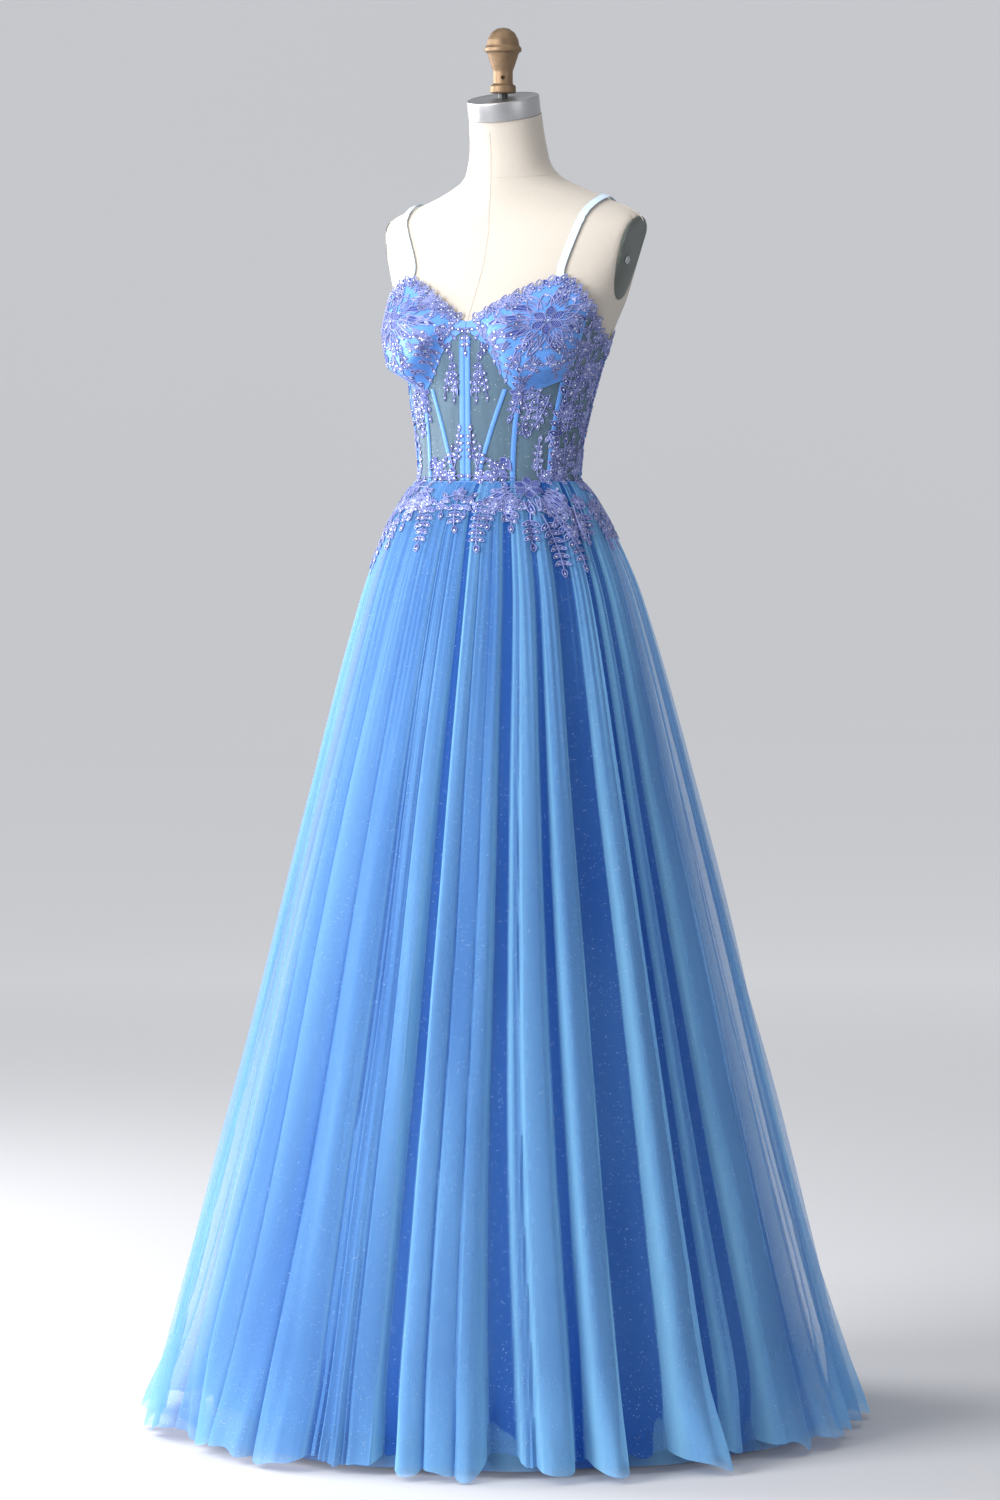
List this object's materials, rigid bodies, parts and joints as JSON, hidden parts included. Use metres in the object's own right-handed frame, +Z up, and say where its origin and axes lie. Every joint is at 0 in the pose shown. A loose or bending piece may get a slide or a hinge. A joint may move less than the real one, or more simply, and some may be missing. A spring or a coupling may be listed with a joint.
{
  "type": "prom dress on a dress form",
  "caption": "Strapped corset bodice with a full, floor-length gathered tulle skirt, worn by a limbless dress form on a round base.",
  "frame": {"origin": "middle of the underside of the stand's base, on the floor", "axes": "+Z up; the dress faces -Y; the wearer's left is at +X"},
  "size_m": [0.8905, 0.8909, 1.7356],
  "materials": {
    "satin": "soft satin, light blue",
    "bodice_mesh": "sheer mesh over the form's canvas, seen as grey blue",
    "tulle_outer": "fine tulle, light blue",
    "tulle_inner": "fine tulle, light blue",
    "lining": "plain blue lining",
    "lace": "corded lace, periwinkle, with clear sequins",
    "strap": "narrow satin strap, pale blue",
    "zip_tape": "concealed zip tape",
    "canvas": "cream canvas cover of the form",
    "steel": "brushed",
    "bronze": "antique bronze, turned and polished",
    "arm_plate": "grey green, satin",
    "black_metal": "black, satin",
    "zip_metal": "polished"
  },
  "bodies": {
    "dress_on_form": {"arm_plate_left": "arm_plate", "arm_plate_right": "arm_plate", "bodice_back_left": "satin", "bodice_back_right": "satin", "bodice_front": "bodice_mesh", "bodice_side_front_left": "bodice_mesh", "bodice_side_front_right": "bodice_mesh", "bodice_side_left": "satin", "bodice_side_right": "satin", "channel_back_left": "satin", "channel_back_right": "satin", "channel_centre": "satin", "channel_diagonal_left": "satin", "channel_diagonal_right": "satin", "channel_side_left": "satin", "channel_side_right": "satin", "channel_undercup_left": "satin", "channel_undercup_right": "satin", "cup_left": "satin", "cup_right": "satin", "finial": "bronze", "finial_stem": "black_metal", "form_torso": "canvas", "lace_bust_left": "lace", "lace_bust_right": "lace", "lace_cup_left": "lace", "lace_cup_right": "lace", "lace_side_left": "lace", "lace_side_right": "lace", "lace_waist_back_left": "lace", "lace_waist_back_right": "lace", "lace_waist_flower_left": "lace", "lace_waist_flower_right": "lace", "lace_waist_front": "lace", "lace_waist_side_left": "lace", "lace_waist_side_right": "lace", "neck_cap": "steel", "skirt_lining": "lining", "skirt_tulle_inner": "tulle_inner", "skirt_tulle_outer": "tulle_outer", "stand_base": "black_metal", "stand_flange": "black_metal", "stand_pole": "steel", "strap_left": "strap", "strap_right": "strap", "zip_chain": "zip_tape", "zip_slider": "zip_metal"},
    "zip_pull_tab": {"zip_pull": "zip_metal"}
  },
  "joints": [
    {"name": "zip_pull_hinge", "type": "hinge", "parent": "dress_on_form", "child": "zip_pull_tab", "pos_m": [0, 0.10181, 1.32211], "axis": [1, 0, 0], "range_deg": [0, 150]}
  ]
}
